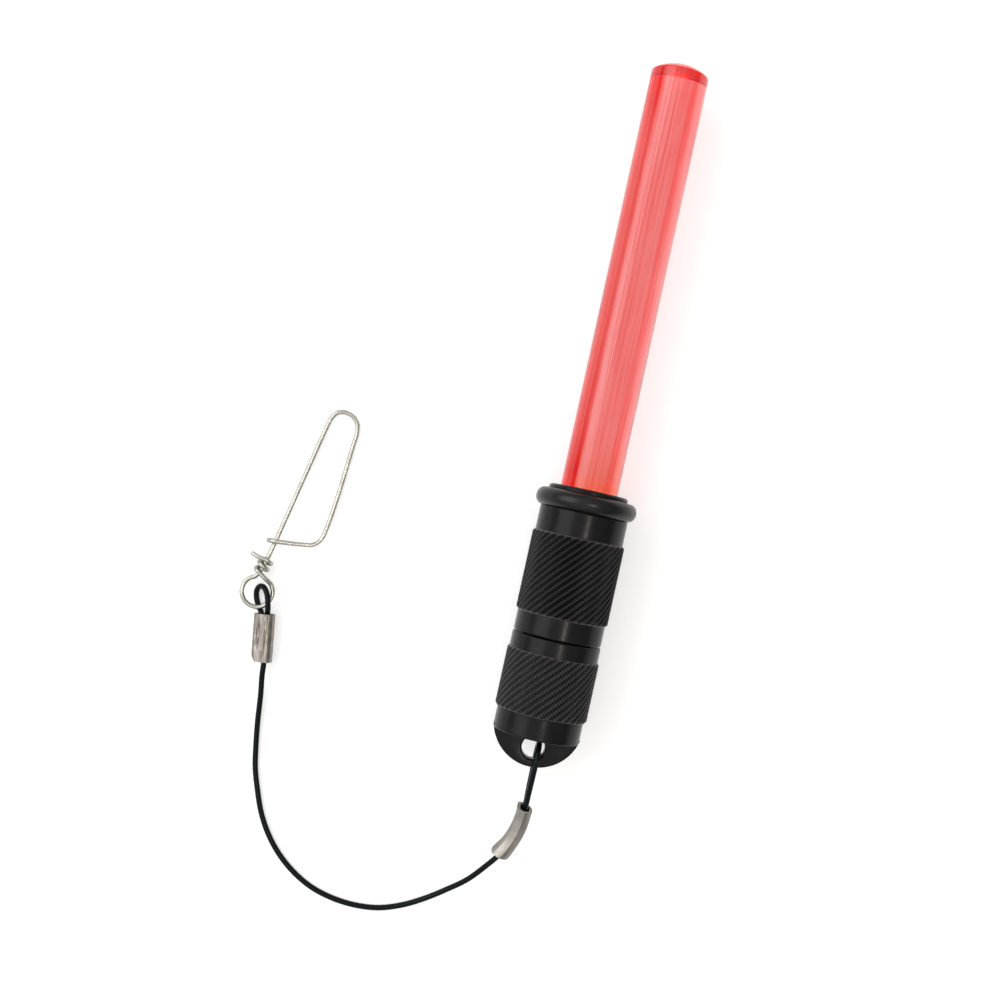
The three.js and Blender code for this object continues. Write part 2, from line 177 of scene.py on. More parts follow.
def turned(name, profile, around=AROUND_INNER, sharp_angle=40):
    """A solid of revolution about the stick's axis. The profile's points are (radius, station), or
    (radius, station, relief) where relief(angles, station) gives how much lower the surface is.
    A profile that starts and ends on the axis makes a solid, and any other one closes on itself."""
    angles = np.arange(around) * FULL_TURN / around
    solid = profile[0][0] == 0
    walls = profile[1:-1] if solid else profile
    rings = np.empty((len(walls), around, 3))
    depths = np.zeros((len(walls), around))
    for ring, depth, (radius, station, *relief) in zip(rings, depths, walls):
        if relief:
            depth[:] = relief[0](angles, station)
        radii = radius - depth
        ring[:, 0] = radii * np.sin(angles)
        ring[:, 1] = station
        ring[:, 2] = radii * np.cos(angles) + AXIS_Z
    if not solid:
        return mark_relief(lofted(name, rings, closed=True, sharp_angle=sharp_angle), depths)
    points = rings.reshape(-1, 3).tolist()
    faces = ring_quads(len(walls), around, closed=False)
    for end, first in ((profile[0], 0), (profile[-1], (len(walls) - 1) * around)):
        points.append((0, end[1], AXIS_Z))
        tip = len(points) - 1
        faces += [(tip, first + i, first + (i + 1) % around) for i in range(around)]
    return mark_relief(new_piece(name, points, faces, sharp_angle), depths)


def mark_relief(piece, depths):
    """Mark the crests and grooves of a turned piece's pattern for its material, which lightens the
    crests for wear and a painted highlight and darkens the grooves with painted shade. depths is how
    far each ring's points are cut down; a ring cut evenly all round has no pattern."""
    cut = depths - depths.min(axis=1, keepdims=True)
    patterned = cut.max(axis=1, keepdims=True) > LEAST_PATTERN
    shares = {"lit_worn_crest": patterned * (1 - cut / CREST_DEPTH), "groove": cut / GROOVE_SHADE_DEPTH}
    for name, share in shares.items():
        values = np.zeros(len(piece.data.vertices))
        values[:share.size] = np.clip(share, 0, 1).ravel()
        piece.data.attributes.new(name, "FLOAT", "POINT").data.foreach_set("value", values)
    return piece


def eased(corners):
    """An outline through (radius, station, ease) corners, each curved over its ease on both sides.
    A point just past each end of a curve keeps the plain faces beside it flat-shaded."""
    steps = 4
    just_past = 1.12
    outline = []
    for i, (radius, station, *ease) in enumerate(corners):
        if not ease or not 0 < i < len(corners) - 1:
            outline.append((radius, station))
            continue
        corner = Vector((radius, station))
        before = (Vector(corners[i - 1][:2]) - corner).normalized() * ease[0]
        after = (Vector(corners[i + 1][:2]) - corner).normalized() * ease[0]
        outline.append(tuple(corner + before * just_past))
        for step in range(steps + 1):
            t = step / steps
            outline.append(tuple(corner + before * (1 - t) ** 2 + after * t**2))
        outline.append(tuple(corner + after * just_past))
    return outline


def arc(radius, station, section, start, end, steps):
    """Points on an arc about (radius, station), its angles in degrees from the outward radius."""
    angles = np.radians(np.linspace(start, end, steps + 1))
    return [(radius + section * math.cos(a), station + section * math.sin(a)) for a in angles]


def curve_points(route, spacing):
    """Points about spacing apart along the centripetal Catmull-Rom curve through a route."""
    route = [np.array(p, float) for p in route]
    ends = [2 * route[0] - route[1], *route, 2 * route[-1] - route[-2]]
    points = []
    for p0, p1, p2, p3 in zip(ends, ends[1:], ends[2:], ends[3:]):
        d0, d1, d2 = (math.sqrt(np.linalg.norm(b - a)) for a, b in ((p0, p1), (p1, p2), (p2, p3)))
        out = ((p1 - p0) / d0 - (p2 - p0) / (d0 + d1) + (p2 - p1) / d1) * d1
        into = ((p2 - p1) / d1 - (p3 - p1) / (d1 + d2) + (p3 - p2) / d2) * d1
        steps = max(1, round(np.linalg.norm(p2 - p1) / spacing))
        for t in np.arange(steps) / steps:
            cubic = (2 * p1 - 2 * p2 + out + into) * t**3
            square = (3 * p2 - 3 * p1 - 2 * out - into) * t**2
            points.append(p1 + out * t + square + cubic)
    points.append(route[-1])
    return np.array(points)


def frames_along(points):
    """The tangent and two turning-free side directions at each point of a line."""
    tangents = np.gradient(points, axis=0)
    tangents /= np.linalg.norm(tangents, axis=1)[:, None]
    side = np.cross(tangents[0], (0.0, 0.0, 1.0))
    sides = np.empty_like(points)
    for i, tangent in enumerate(tangents):
        side = side - tangent * (side @ tangent)
        side = side / np.linalg.norm(side)
        sides[i] = side
    return tangents, sides, np.cross(tangents, sides)


def swept(name, points, radius, around, round_ends=False, relief=None):
    """A round rod or wire along a line of points. relief(angles, distance) raises its surface."""
    tangents, sides, ups = frames_along(points)
    travelled = np.concatenate([[0], np.cumsum(np.linalg.norm(np.diff(points, axis=0), axis=1))])
    angles = np.arange(around) * FULL_TURN / around
    rings = []

    def add_ring(i, scale=1.0, ahead=0.0):
        raised = relief(angles, travelled[i]) if relief else 0
        reach = ((radius + raised) * scale * np.ones(around))[:, None]
        across = np.outer(np.cos(angles), sides[i]) + np.outer(np.sin(angles), ups[i])
        rings.append(points[i] + ahead * tangents[i] + reach * across)

    dome = np.radians([82, 70, 55, 38, 20]) if round_ends else []
    for lean in dome:
        add_ring(0, math.cos(lean), -radius * math.sin(lean))
    for i in range(len(points)):
        add_ring(i)
    for lean in reversed(dome):
        add_ring(len(points) - 1, math.cos(lean), radius * math.sin(lean))
    return lofted(name, np.array(rings))


# ---- materials ----
def node(tree, kind, values=None, **settings):
    """A new shader node. Each value is set on its input socket, or linked to it if it is a socket."""
    made = tree.nodes.new("ShaderNode" + kind)
    for key, setting in settings.items():
        setattr(made, key, setting)
    for socket, value in (values or {}).items():
        if isinstance(value, bpy.types.NodeSocket):
            tree.links.new(value, made.inputs[socket])
        else:
            made.inputs[socket].default_value = value
    return made


def finish(name, values):
    """A new material with these values on its Principled shader: (material, tree, shader)."""
    material = bpy.data.materials.new(name)
    material.use_nodes = True
    tree = material.node_tree
    shader = tree.nodes["Principled BSDF"]
    for socket, value in values.items():
        shader.inputs[socket].default_value = value
    return material, tree, shader


def grain(tree, size, stretch=(1, 1, 1), detail=2.0):
    """Noise from 0 to 1 with features about size metres across, longer along a stretched axis."""
    place = node(tree, "TexCoord").outputs["Object"]
    scale = [1 / (size * s) for s in stretch]
    spot = node(tree, "Mapping", {"Vector": place, "Scale": scale}).outputs[0]
    return node(tree, "TexNoise", {"Vector": spot, "Scale": 1.0, "Detail": detail}).outputs[0]


def ramp(tree, source, *stops):
    """A colour from source through (position, colour) stops; a single number stands for a grey."""
    made = node(tree, "ValToRGB", {0: source})
    elements = made.color_ramp.elements
    while len(elements) < len(stops):
        elements.new(0.5)
    for element, (position, colour) in zip(elements, stops):
        element.position = position
        element.color = (*colour, 1) if isinstance(colour, tuple) else (colour, colour, colour, 1)
    return made.outputs[0]


def relief(tree, shader, *layers):
    """Bump on a shader from (height source, depth in metres) layers."""
    normal = None
    for source, depth in layers:
        bump = node(tree, "Bump", {"Height": source, "Strength": 1.0, "Distance": depth})
        if normal:
            tree.links.new(normal, bump.inputs["Normal"])
        normal = bump.outputs[0]
    tree.links.new(normal, shader.inputs["Normal"])


def link(tree, source, shader, socket):
    """Feed one of a shader's inputs from a node's output."""
    tree.links.new(source, shader.inputs[socket])


ALONG = (1, 60, 1)  # streaks drawn out along the stick
ROUND = (60, 1, 60)  # rings turned round the stick


def share_between(tree, axis, low, high):
    """0 to 1 as a point of the surface goes from low to high along an axis of its object."""
    place = node(tree, "TexCoord").outputs["Object"]
    along = node(tree, "SeparateXYZ", {0: place}).outputs[axis]
    made = node(tree, "MapRange", {"Value": along, "From Min": low, "From Max": high})
    return made.outputs[0]


def multiplied(tree, first, second):
    """The product of two colours."""
    return node(tree, "MixRGB", {0: 1.0, 1: first, 2: second}, blend_type="MULTIPLY").outputs[0]


def rod_painted_bands(tree, across):
    """Painted shade in broad bands side by side across the rod: the deepest along its left edge, thinner
    darker stripes between clear ones.
    """
    painted_shade_red = (1, 0.36, 0.33)
    clear = (1, 0.97, 0.95)
    # Painted shade: the red bands stand in for the shaded floor and dark surroundings seen through the
    # rod.
    return ramp(tree, across, (0.14, (1, 0.2, 0.17)), (0.22, painted_shade_red), (0.27, clear), (0.46, clear),
                (0.485, (0.97, 0.52, 0.5)), (0.52, clear), (0.68, clear), (0.76, (0.97, 0.48, 0.46)),
                (0.88, (1, 1, 1)))


def rod_ends(tree, across, along):
    """Painted shade on the left near the rod's two ends, and the lamp's amber light painted at its foot.
    """
    near_ends = ramp(tree, along, (0.1, 1.0), (0.2, 0.6), (0.38, 0.12), (0.8, 0.1), (0.9, 0.9),
                     (0.96, 1.0), (0.975, 0.2))
    left_only = ramp(tree, across, (0.2, 1.0), (0.28, 0.0))
    share = multiplied(tree, near_ends, left_only)
    # painted shade: deeper red only on the rod's left side near its ends
    painted_end_shade = node(tree, "MixRGB", {0: share, 1: (1, 1, 1, 1), 2: (0.9, 0.015, 0.01, 1)}).outputs[0]
    amber = ramp(tree, along, (0.02, (1, 0.62, 0.1)), (0.08, (1, 0.78, 0.58)), (0.18, (1, 1, 1)))
    return multiplied(tree, painted_end_shade, amber)


def red_acrylic():
    """Clear red acrylic rod. Bands of painted shade and fine draw lines run along it, painted shade
    deepens its domed end, and the lamp's light shows at its foot and in its domed end."""
    material, tree, shader = finish("red_acrylic", {
        "IOR": 1.49,
        "Transmission Weight": 0.94,
        "Emission Color": (1.0, 0.02, 0.012, 1),
    })
    fine = grain(tree, 0.22 * MM, ALONG)
    broad = grain(tree, 0.9 * MM, ALONG, 1.0)
    streaks = node(tree, "MixRGB", {0: 0.5, 1: broad, 2: fine}).outputs[0]
    lines = ramp(tree, streaks, (0.4, (0.86, 0.44, 0.42)), (0.5, (0.87, 0.7, 0.68)),
                 (0.6, (0.9, 0.88, 0.86)))

    foot = HEAD.front
    across = share_between(tree, "X", -ROD_R, ROD_R)
    along = share_between(tree, "Y", foot, ROD.front)
    dome = (ROD.front - 2 * MM - foot) / (ROD.front - foot)
    before_dome = dome - 0.002
    in_dome = dome + 0.004

    # painted shade: the domed end's deeper red
    end = ramp(tree, along, (before_dome, (1, 1, 1)), (in_dome, (0.95, 0.2, 0.18)))
    body = multiplied(tree, lines, rod_painted_bands(tree, across))
    tint = multiplied(tree, body, rod_ends(tree, across, along))
    link(tree, multiplied(tree, tint, end), shader, "Base Color")
    glow = ramp(tree, along, (0.0, 0.22), (0.09, 0.0), (before_dome, 0.0), (in_dome, 0.75))
    streaked = multiplied(tree, glow, ramp(tree, streaks, (0.35, 0.8), (0.6, 1.0)))
    link(tree, streaked, shader, "Emission Strength")
    link(tree, ramp(tree, fine, (0.3, 0.02), (0.75, 0.08)), shader, "Roughness")
    relief(tree, shader, (broad, 0.08 * MM), (fine, 0.012 * MM))
    volume = node(tree, "VolumeAbsorption", {"Color": (0.997, 0.1, 0.12, 1), "Density": 120.0})
    tree.links.new(volume.outputs[0], tree.nodes["Material Output"].inputs["Volume"])
    return material


def black_anodised():
    """Turned aluminium dyed black, with fine tool rings, knurl crests lightened for wear and a painted
    highlight, and painted shade in the grooves.
    """
    material, tree, shader = finish("black_anodised", {
        "Specular IOR Level": 0.145,
    })
    rings = grain(tree, 0.09 * MM, ROUND)
    cloud = grain(tree, 3 * MM, detail=4.0)
    speck = grain(tree, 0.12 * MM)
    lit_worn_crest = node(tree, "Attribute", attribute_name="lit_worn_crest").outputs["Fac"]
    groove = node(tree, "Attribute", attribute_name="groove").outputs["Fac"]
    dye = ramp(tree, cloud, (0.3, (0.0064, 0.0058, 0.0066)), (0.7, (0.0102, 0.0095, 0.0104)))
    # Crests: lightened for wear and a painted highlight.
    crest_wear_and_highlight = multiplied(tree, lit_worn_crest, ramp(tree, speck, (0.3, 0.5), (0.6, 1.0)))
    # Grooves: painted shade, darkest at the bottom of each groove.
    shade = ramp(tree, groove, (0.3, 1.0), (1.0, 0.4))
    tint = node(tree, "MixRGB", {0: crest_wear_and_highlight, 1: dye, 2: (0.066, 0.061, 0.064, 1)}).outputs[0]
    link(tree, multiplied(tree, tint, shade), shader, "Base Color")
    link(tree, ramp(tree, rings, (0.3, 0.19), (0.7, 0.3)), shader, "Roughness")
    relief(tree, shader, (rings, 0.004 * MM), (speck, 0.003 * MM))
    return material


def black_rubber():
    """Black nitrile rubber with a little bloom on it."""
    material, tree, shader = finish("black_rubber", {
        "Specular IOR Level": 0.3,
    })
    dust = grain(tree, 0.25 * MM, detail=5.0)
    cloud = grain(tree, 2.5 * MM)
    link(tree, ramp(tree, cloud, (0.3, 0.26), (0.7, 0.36)), shader, "Roughness")
    bloom = ramp(tree, dust, (0.35, (0.004, 0.0037, 0.004)), (0.8, (0.009, 0.0087, 0.009)))
    link(tree, bloom, shader, "Base Color")
    relief(tree, shader, (dust, 0.006 * MM))
    return material


def bare_metal(name, dark, light, roughness, streak, stretch, depth=0.004 * MM, edge=1.0):
    """Bright metal whose colour and gloss vary along its streaks. edge below 1 darkens its rims seen
    at a slant with painted shade.
    """
    material, tree, shader = finish(name, {
        "Metallic": 1.0,
        "Roughness": roughness,
        # edge below 1: painted shade on the rims seen at a slant
        "Specular Tint": (edge, edge, edge, 1),
    })
    streaks = grain(tree, streak, stretch, 3.0)
    stain = grain(tree, 1.5 * MM, detail=4.0)
    link(tree, ramp(tree, stain, (0.32, dark), (0.68, light)), shader, "Base Color")
    gloss = ramp(tree, streaks, (0.3, roughness * 0.75), (0.7, roughness * 1.3))
    link(tree, gloss, shader, "Roughness")
    relief(tree, shader, (streaks, depth))
    return material


def cable_coating():
    """Smooth blue-black nylon over the cable."""
    material, tree, shader = finish("cable_coating", {
        "Specular IOR Level": 0.14,
    })
    cloud = grain(tree, 0.6 * MM, detail=3.0)
    link(tree, ramp(tree, cloud, (0.3, (0.0006, 0.0022, 0.003)), (0.7, (0.0015, 0.004, 0.005))),
         shader, "Base Color")
    link(tree, ramp(tree, cloud, (0.3, 0.26), (0.7, 0.4)), shader, "Roughness")
    relief(tree, shader, (cloud, 0.01 * MM))
    return material


def tinted_plastic(name, dark, light, roughness, **extra):
    """Moulded or coated plastic, a little mottled, with a fine skin. extra sets more of its shader's
    inputs, with _ for each space in their names."""
    grain_size = 0.4 * MM
    values = {socket.replace("_", " "): value for socket, value in extra.items()}
    material, tree, shader = finish(name, {"Roughness": roughness, **values})
    cloud = grain(tree, grain_size * 4, detail=3.0)
    skin = grain(tree, grain_size, detail=2.0)
    link(tree, ramp(tree, cloud, (0.3, dark), (0.7, light)), shader, "Base Color")
    link(tree, ramp(tree, skin, (0.3, roughness * 0.8), (0.7, roughness * 1.2)), shader, "Roughness")
    relief(tree, shader, (skin, 0.004 * MM))
    return material


METALS = [
    # name, darkest and lightest colour, roughness, streak size and stretch, relief, edge (below 1:
    # painted shade on the rims)
    ("gold_contact", (0.75, 0.5, 0.17), (0.86, 0.62, 0.26), 0.25, 0.1 * MM, ROUND),
    ("cell_steel", (0.52, 0.52, 0.51), (0.66, 0.65, 0.63), 0.24, 0.1 * MM, ROUND),
    ("spring_steel", (0.5, 0.49, 0.47), (0.62, 0.61, 0.58), 0.22, 0.15 * MM, (1, 1, 1)),
    ("crimp_aluminium", (0.30, 0.28, 0.252), (0.36, 0.335, 0.303), 0.38, 0.2 * MM, (1, 12, 1),
     0.014 * MM, 0.5),
    ("crimp_worn", (0.25, 0.222, 0.196), (0.34, 0.315, 0.285), 0.36, 0.3 * MM, (1, 6, 1),
     0.009 * MM, 0.5),
    ("stainless_wire", (0.45, 0.435, 0.39), (0.57, 0.555, 0.50), 0.3, 0.3 * MM, (1, 1, 1),
     0.001 * MM, 0.12),
]
PLASTICS = [
    # name, darkest and lightest colour, roughness
    ("white_plastic", (0.72, 0.70, 0.65), (0.8, 0.78, 0.73), 0.45),
    ("board_green", (0.01, 0.11, 0.035), (0.015, 0.16, 0.05), 0.35),
    ("resistor_black", (0.012, 0.012, 0.013), (0.03, 0.03, 0.03), 0.5),
    ("sleeve_film", (0.015, 0.07, 0.33), (0.03, 0.11, 0.42), 0.3),
]


def make_looks():
    """Every material of the object, by name."""
    looks = {
        "red_acrylic": red_acrylic(),
        "black_anodised": black_anodised(),
        "black_rubber": black_rubber(),
        "cable_coating": cable_coating(),
        "led_lens": tinted_plastic("led_lens", (0.8, 0.05, 0.03), (0.95, 0.1, 0.05), 0.1, IOR=1.53,
                                   Transmission_Weight=0.6, Emission_Color=(1, 0.16, 0.05, 1),
                                   Emission_Strength=6.0),
    }
    for name, *values in PLASTICS:
        looks[name] = tinted_plastic(name, *values)
    for name, *values in METALS:
        looks[name] = bare_metal(name, *values)
    return looks


LOOKS = make_looks()


def place(piece, body, slot, replaced, look=None):
    """Give a piece its material, named by its slot unless a look is given, and its body, and hide
    the CAD node it stands for.
    """
    piece.data.materials.clear()
    piece.data.materials.append(LOOKS[look or slot])
    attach(piece, body)
    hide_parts(replaced)
    return piece


# ---- camera ----
def make_camera():
    """Straight above the object, turned so that the stick leans to the right."""
    camera = add_object("camera", bpy.data.cameras.new("camera"))
    camera.location = (-0.0176, -0.0217, 0.2979)
    camera.rotation_euler = (0, 0, math.radians(12.35))
    camera.data.lens = 50
    camera.data.clip_start = 0.01
    bpy.context.scene.camera = camera


make_camera()

# ---- lanyard ----
# The cable's middle line: dead end in the lug ferrule, loop up through the lug's hole, back through
# the ferrule, round over the table, through the clip ferrule, round the clip's eye, and back into it.
CABLE_ROUTE = [
    (-0.0014, -0.093, 0.007),
    (0.00045, -0.0884, 0.00785),
    (0.0011, -0.083, 0.00885),
    (0.0011, -0.0795, 0.00825),
    (0.0011, -0.076, 0.0079),
    (0.0011, -0.0718, 0.0079),
    (0.0011, -0.06993, 0.00868),
    (0.0011, -0.06915, 0.01055),
    (0.0011, -0.06993, 0.01242),
    (0.0011, -0.0718, 0.0132),
    (0.0011, -0.075, 0.0131),
    (0.0011, -0.079, 0.0119),
    (0.0011, -0.083, 0.01035),
    (0.00045, -0.0884, 0.00935),
    (-0.0019, -0.0938, 0.00835),
    (-0.004, -0.097, 0.0072),
    (-0.0072, -0.1013, 0.005),
    (-0.011, -0.1049, 0.0029),
    (-0.0152, -0.1082, 0.0015),
    (-0.0196, -0.1108, 0.0008),
    (-0.0244, -0.1125, 0.00065),
    (-0.0294, -0.113, 0.00065),
    (-0.0343, -0.1126, 0.00065),
    (-0.0392, -0.1113, 0.00065),
    (-0.0436, -0.109, 0.00065),
    (-0.0475, -0.1059, 0.00065),
    (-0.0507, -0.1022, 0.00065),
    (-0.0532, -0.098, 0.00065),
    (-0.055, -0.0935, 0.00065),
    (-0.0565, -0.0889, 0.00065),
    (-0.0574, -0.0841, 0.0007),
    (-0.0581, -0.079, 0.0009),
    (-0.0586, -0.0733, 0.0015),
    (-0.0591, -0.069, 0.0022),
    (-0.0593, -0.0661, 0.00243),
    (-0.06005, -0.0611, 0.00243),
    (-0.06075, -0.056, 0.00245),
    (-0.0608, -0.0549, 0.0029),
    (-0.061, -0.0536, 0.0034),
    (-0.0614, -0.0523, 0.0033),
    (-0.062, -0.0512, 0.0029),
    (-0.0629, -0.0505, 0.0022),
    (-0.0638, -0.0507, 0.0014),
    (-0.06425, -0.0517, 0.0009),
    (-0.0641, -0.053, 0.00065),
    (-0.0636, -0.0542, 0.00062),
    (-0.063, -0.0552, 0.0008),
    (-0.0622, -0.0561, 0.0015),
    (-0.06125, -0.0613, 0.00157),
    (-0.06065, -0.0654, 0.00157),
]

LUG_FERRULE_FROM = Vector((0.0011, -0.083, 0.0096))
LUG_FERRULE_TO = Vector((-0.0019, -0.0938, 0.0076))
LUG_FERRULE_BULGE = 0.85 * MM
CLIP_FERRULE_FROM = Vector((-0.06135, -0.0561, 0.002))
CLIP_FERRULE_TO = Vector((-0.0599, -0.0662, 0.002))
CLIP_FERRULE_ROLL = math.radians(15)
FERRULE_HALF_WIDTH = 2.25 * MM
FERRULE_HALF_THICK = 1.55 * MM
FERRULE_WALL = 0.5 * MM


def cable():
    """Coated wire rope: six strands show as a shallow twist through the coating."""
    strands = 6
    lay = 7 * MM
    height = 0.03 * MM
    share_inside = 0.9  # of that height lies within the cable's radius
    points = curve_points(CABLE_ROUTE, 0.35 * MM)

    def strand_relief(angles, distance):
        wave = np.abs(np.cos(strands / 2 * (angles + FULL_TURN * distance / lay)))
        return height * (wave - share_inside)

    piece = swept("lanyard_cable_coated", points, CABLE_R, 24, relief=strand_relief)
    place(piece, "lanyard", "cable_coating", "lanyard_cable")
    length = float(np.linalg.norm(np.diff(points, axis=0), axis=1).sum())
    return piece, points, length


def ferrule(name, start, end, bulge, roll, shape, look, replaced):
    """An oval crimp sleeve with an open bore. At the share s of its length, shape(s, angles, u) says
    how far its skin is pressed in, how far it is spread, and how far it is set back along it."""
    steps = 72
    bore_steps = 12
    around = 96
    lip_steps = 5
    edge = 0.16 * MM
    squareness = 3  # how soon the round sides give way to the two flats
    reach = (end - start).length
    angles = np.arange(around) * FULL_TURN / around
    along = (end - start).normalized()
    across = Vector((0, 0, 1)).cross(along).normalized()
    over = along.cross(across)
    wide = across * math.cos(roll) + over * math.sin(roll)
    thick = over * math.cos(roll) - across * math.sin(roll)
    rings = []

    def add_ring(s, inset, wall=0.0):
        half_width = FERRULE_HALF_WIDTH - wall - inset
        half_thick = FERRULE_HALF_THICK - wall - inset
        flat = (half_width - half_thick) * np.clip(squareness * np.cos(angles), -1, 1)
        share = np.cos(angles) * half_thick + flat
        pressed, spread, pull = shape(s, angles, share / half_width)
        if wall:
            pressed, spread = 1.0, 1.0
        u = (half_thick * np.cos(angles) * pressed + flat) * spread
        v = half_thick * np.sin(angles) * pressed * spread
        middle = start.lerp(end, s) + across * (bulge * (1 - (2 * s - 1) ** 2))
        ring = np.array(middle) + np.outer(u, wide) + np.outer(v, thick)
        rings.append(ring - np.outer(pull * np.ones(around), along))

    lip = [edge * (1 - math.sin(t * math.pi / 2)) for t in np.linspace(0, 1, lip_steps)]
    for inset in lip:
        add_ring(inset / reach, inset)
    for s in np.linspace(edge / reach, 1 - edge / reach, steps)[1:-1]:
        add_ring(s, 0)
    for inset in reversed(lip):
        add_ring(1 - inset / reach, inset)
    for s in np.linspace(1, 0, bore_steps):
        add_ring(s, 0, FERRULE_WALL)
    piece = lofted(name, np.array(rings), closed=True)
    return place(piece, "lanyard", "crimp_aluminium", replaced, look)


def bump_at(value, middle, width):
    """1 at the middle, falling smoothly to 0 over about twice the width."""
    return np.exp(-(((value - middle) / width) ** 2))


def facet(angles, facing, depth):
    """Reach of a flat pressed into a round of radius 1, at depth from its middle."""
    return depth / np.maximum(np.cos(angles - facing), 0.3)


def lug_crimp_shape(s, angles, u):
    """Pressed into a roof shape, with a crease between its two flats, and flared mouths."""
    turn = (angles + math.pi) % FULL_TURN - math.pi
    roof = np.minimum(facet(turn, math.radians(22), 0.9), facet(turn, math.radians(-38), 0.84))
    grip = math.sin(math.pi * min(1, 0.12 + s * 0.8)) ** 0.5
    pressed = 1 + (np.minimum(roof, 1.05) - 1) * grip
    flare = 0.04 * bump_at(s, 0, 0.09) + 0.17 * bump_at(s, 1, 0.2)
    return pressed, 1.03 + flare, 0.0


def clip_crimp_shape(s, angles, u):
    """A crease between its two barrels, a long jaw dent in one of them, and a bent lower corner."""
    fold = 0.48 - 0.12 * s
    crease = 0.11 * bump_at(u, fold, 0.08) - 0.05 * bump_at(u, fold - 0.18, 0.09)
    dent = 0.45 * bump_at(s, 0.4, 0.24) * bump_at(u, -0.4, 0.16)
    corner = 1.6 * MM * np.clip((-u - 0.45) / 0.5, 0, 1) * max(0, (s - 0.75) / 0.25)
    return 0.98 + crease - dent, 1.03, corner


def lanyard():
    """The cable and its two crimps: (cable, its middle line, its length, crimps)."""
    cable_piece, points, length = cable()
    lug_crimp = ferrule("lug_crimp_pressed", LUG_FERRULE_FROM, LUG_FERRULE_TO, LUG_FERRULE_BULGE,
                        math.radians(90), lug_crimp_shape, "crimp_aluminium", "lug_crimp_sleeve")
    clip_crimp = ferrule("clip_crimp_pressed", CLIP_FERRULE_FROM, CLIP_FERRULE_TO, 0,
                         CLIP_FERRULE_ROLL, clip_crimp_shape, "crimp_worn", "clip_crimp_sleeve")
    return cable_piece, points, length, [lug_crimp, clip_crimp]


# ---- wire clip ----
EYE_CENTRE = Vector((-0.06395, -0.0518, 0.002))
EYE_R = 3.3 * MM
COIL_FROM = Vector((-0.0643, -0.0476, 0.002))
COIL_TO = Vector((-0.0634, -0.0447, 0.00195))
COIL_R = 1.13 * MM
COIL_TURNS = 2
WIRE_SPACING = 0.16 * MM
SHANK_CROSSING = Vector((-0.06245, -0.0405, 0.00177))
CLIP_TOP = Vector((-0.0541, -0.01042, 0.0005))  # middle of the top bend, where the gate flexes
WIRE_AROUND = 24


def clip_frame():
    """Stray tail, wraps round the shank, eye, shank and long side up to the top bend."""
    along = (COIL_TO - COIL_FROM).normalized()
    side = along.cross(Vector((0, 0, 1))).normalized()
    route = [(-0.0664, -0.044, 0.0029), (-0.0649, -0.0445, 0.0031)]
    points_per_turn = 10
    count = COIL_TURNS * points_per_turn
    for i in range(count + 1):
        angle = math.pi / 2 - FULL_TURN * i / points_per_turn
        centre = COIL_TO.lerp(COIL_FROM, i / count)
        spot = centre + side * COIL_R * math.cos(angle)
        route.append((spot.x, spot.y, centre.z + COIL_R * math.sin(angle)))
    route.append((-0.0629, -0.0486, 0.00285))
    eye_steps = 12
    for angle in np.radians(np.linspace(38, -250, eye_steps + 1)):
        route.append(EYE_CENTRE + EYE_R * Vector((math.cos(angle), math.sin(angle), 0)))
    route += [
        COIL_FROM,
        COIL_TO,
        SHANK_CROSSING,
        (-0.0616, -0.0364, 0.0016),
        (-0.05935, -0.0252, 0.0011),
        (-0.0572, -0.0146, 0.0006),
        (-0.0566, -0.0123, 0.0005),
        (-0.0556, -0.0109, 0.0005),
        CLIP_TOP,
    ]
    piece = swept("clip_frame_wire", curve_points(route, WIRE_SPACING), WIRE_R, WIRE_AROUND, True)
    return place(piece, "clip", "stainless_wire", "clip_frame")


def clip_gate():
    """From the top bend down the sprung side, round the corner, across, and hooked round the shank."""
    x, y, z = SHANK_CROSSING
    hook = 1.28 * MM
    route = [
        CLIP_TOP,
        (-0.0523, -0.0109, 0.0005),
        (-0.05095, -0.0123, 0.0005),
        (-0.0506, -0.0141, 0.0005),
        (-0.05085, -0.0178, 0.00055),
        (-0.0517, -0.0288, 0.0008),
        (-0.0525, -0.0356, 0.0011),
        (-0.0531, -0.0381, 0.0013),
        (-0.0544, -0.0395, 0.0016),
        (-0.0568, -0.04, 0.0021),
        (-0.0603, -0.04035, 0.0028),
        (x, y, z + hook),
        (x - 1.0 * MM, y - 0.05 * MM, z + 0.85 * MM),
        (x - 1.45 * MM, y - 0.1 * MM, z),
        (x - 1.0 * MM, y - 0.1 * MM, z - 0.9 * MM),
        (x, y - 0.05 * MM, z - hook),
    ]
    piece = swept("clip_gate_wire", curve_points(route, WIRE_SPACING), WIRE_R, WIRE_AROUND, True)
    return place(piece, "gate", "stainless_wire", "clip_gate")


def declare_lanyard():
    """Build the cable from the lug's hole to the clip, its two crimps and the clip's two wires."""
    piece, points, length, crimps = lanyard()
    wires = [clip_frame(), clip_gate()]


declare_lanyard()


# ---- rod and its mounting ----
def rod():
    """The rod: flanged foot, straight body and a shallow polished dome."""
    rim = math.degrees(math.acos(ROD_R / ROD_DOME_R))
    body = eased([
        (ROD.radius, ROD.rear + 0.01 * MM),
        (ROD.radius, ROD.rear + ROD_FLANGE_THICK, 0.2 * MM),
        (ROD_R, ROD.rear + ROD_FLANGE_THICK, 0.15 * MM),
        (ROD_R, ROD.front - 3 * MM),
    ])
    dome = arc(0, ROD.front - ROD_DOME_R, ROD_DOME_R, rim, 90, 24)
    corner_ease = 0.3 * MM
    top = eased([body[-1], (*dome[0], corner_ease), dome[2]])[1:-1]
    outline = [(0, ROD.rear), (ROD.radius - 0.2 * MM, ROD.rear), *body, *top, *dome[2:]]
    piece = turned("light_rod_polished", outline, 256)
    return place(piece, "head", "red_acrylic", "light_rod")


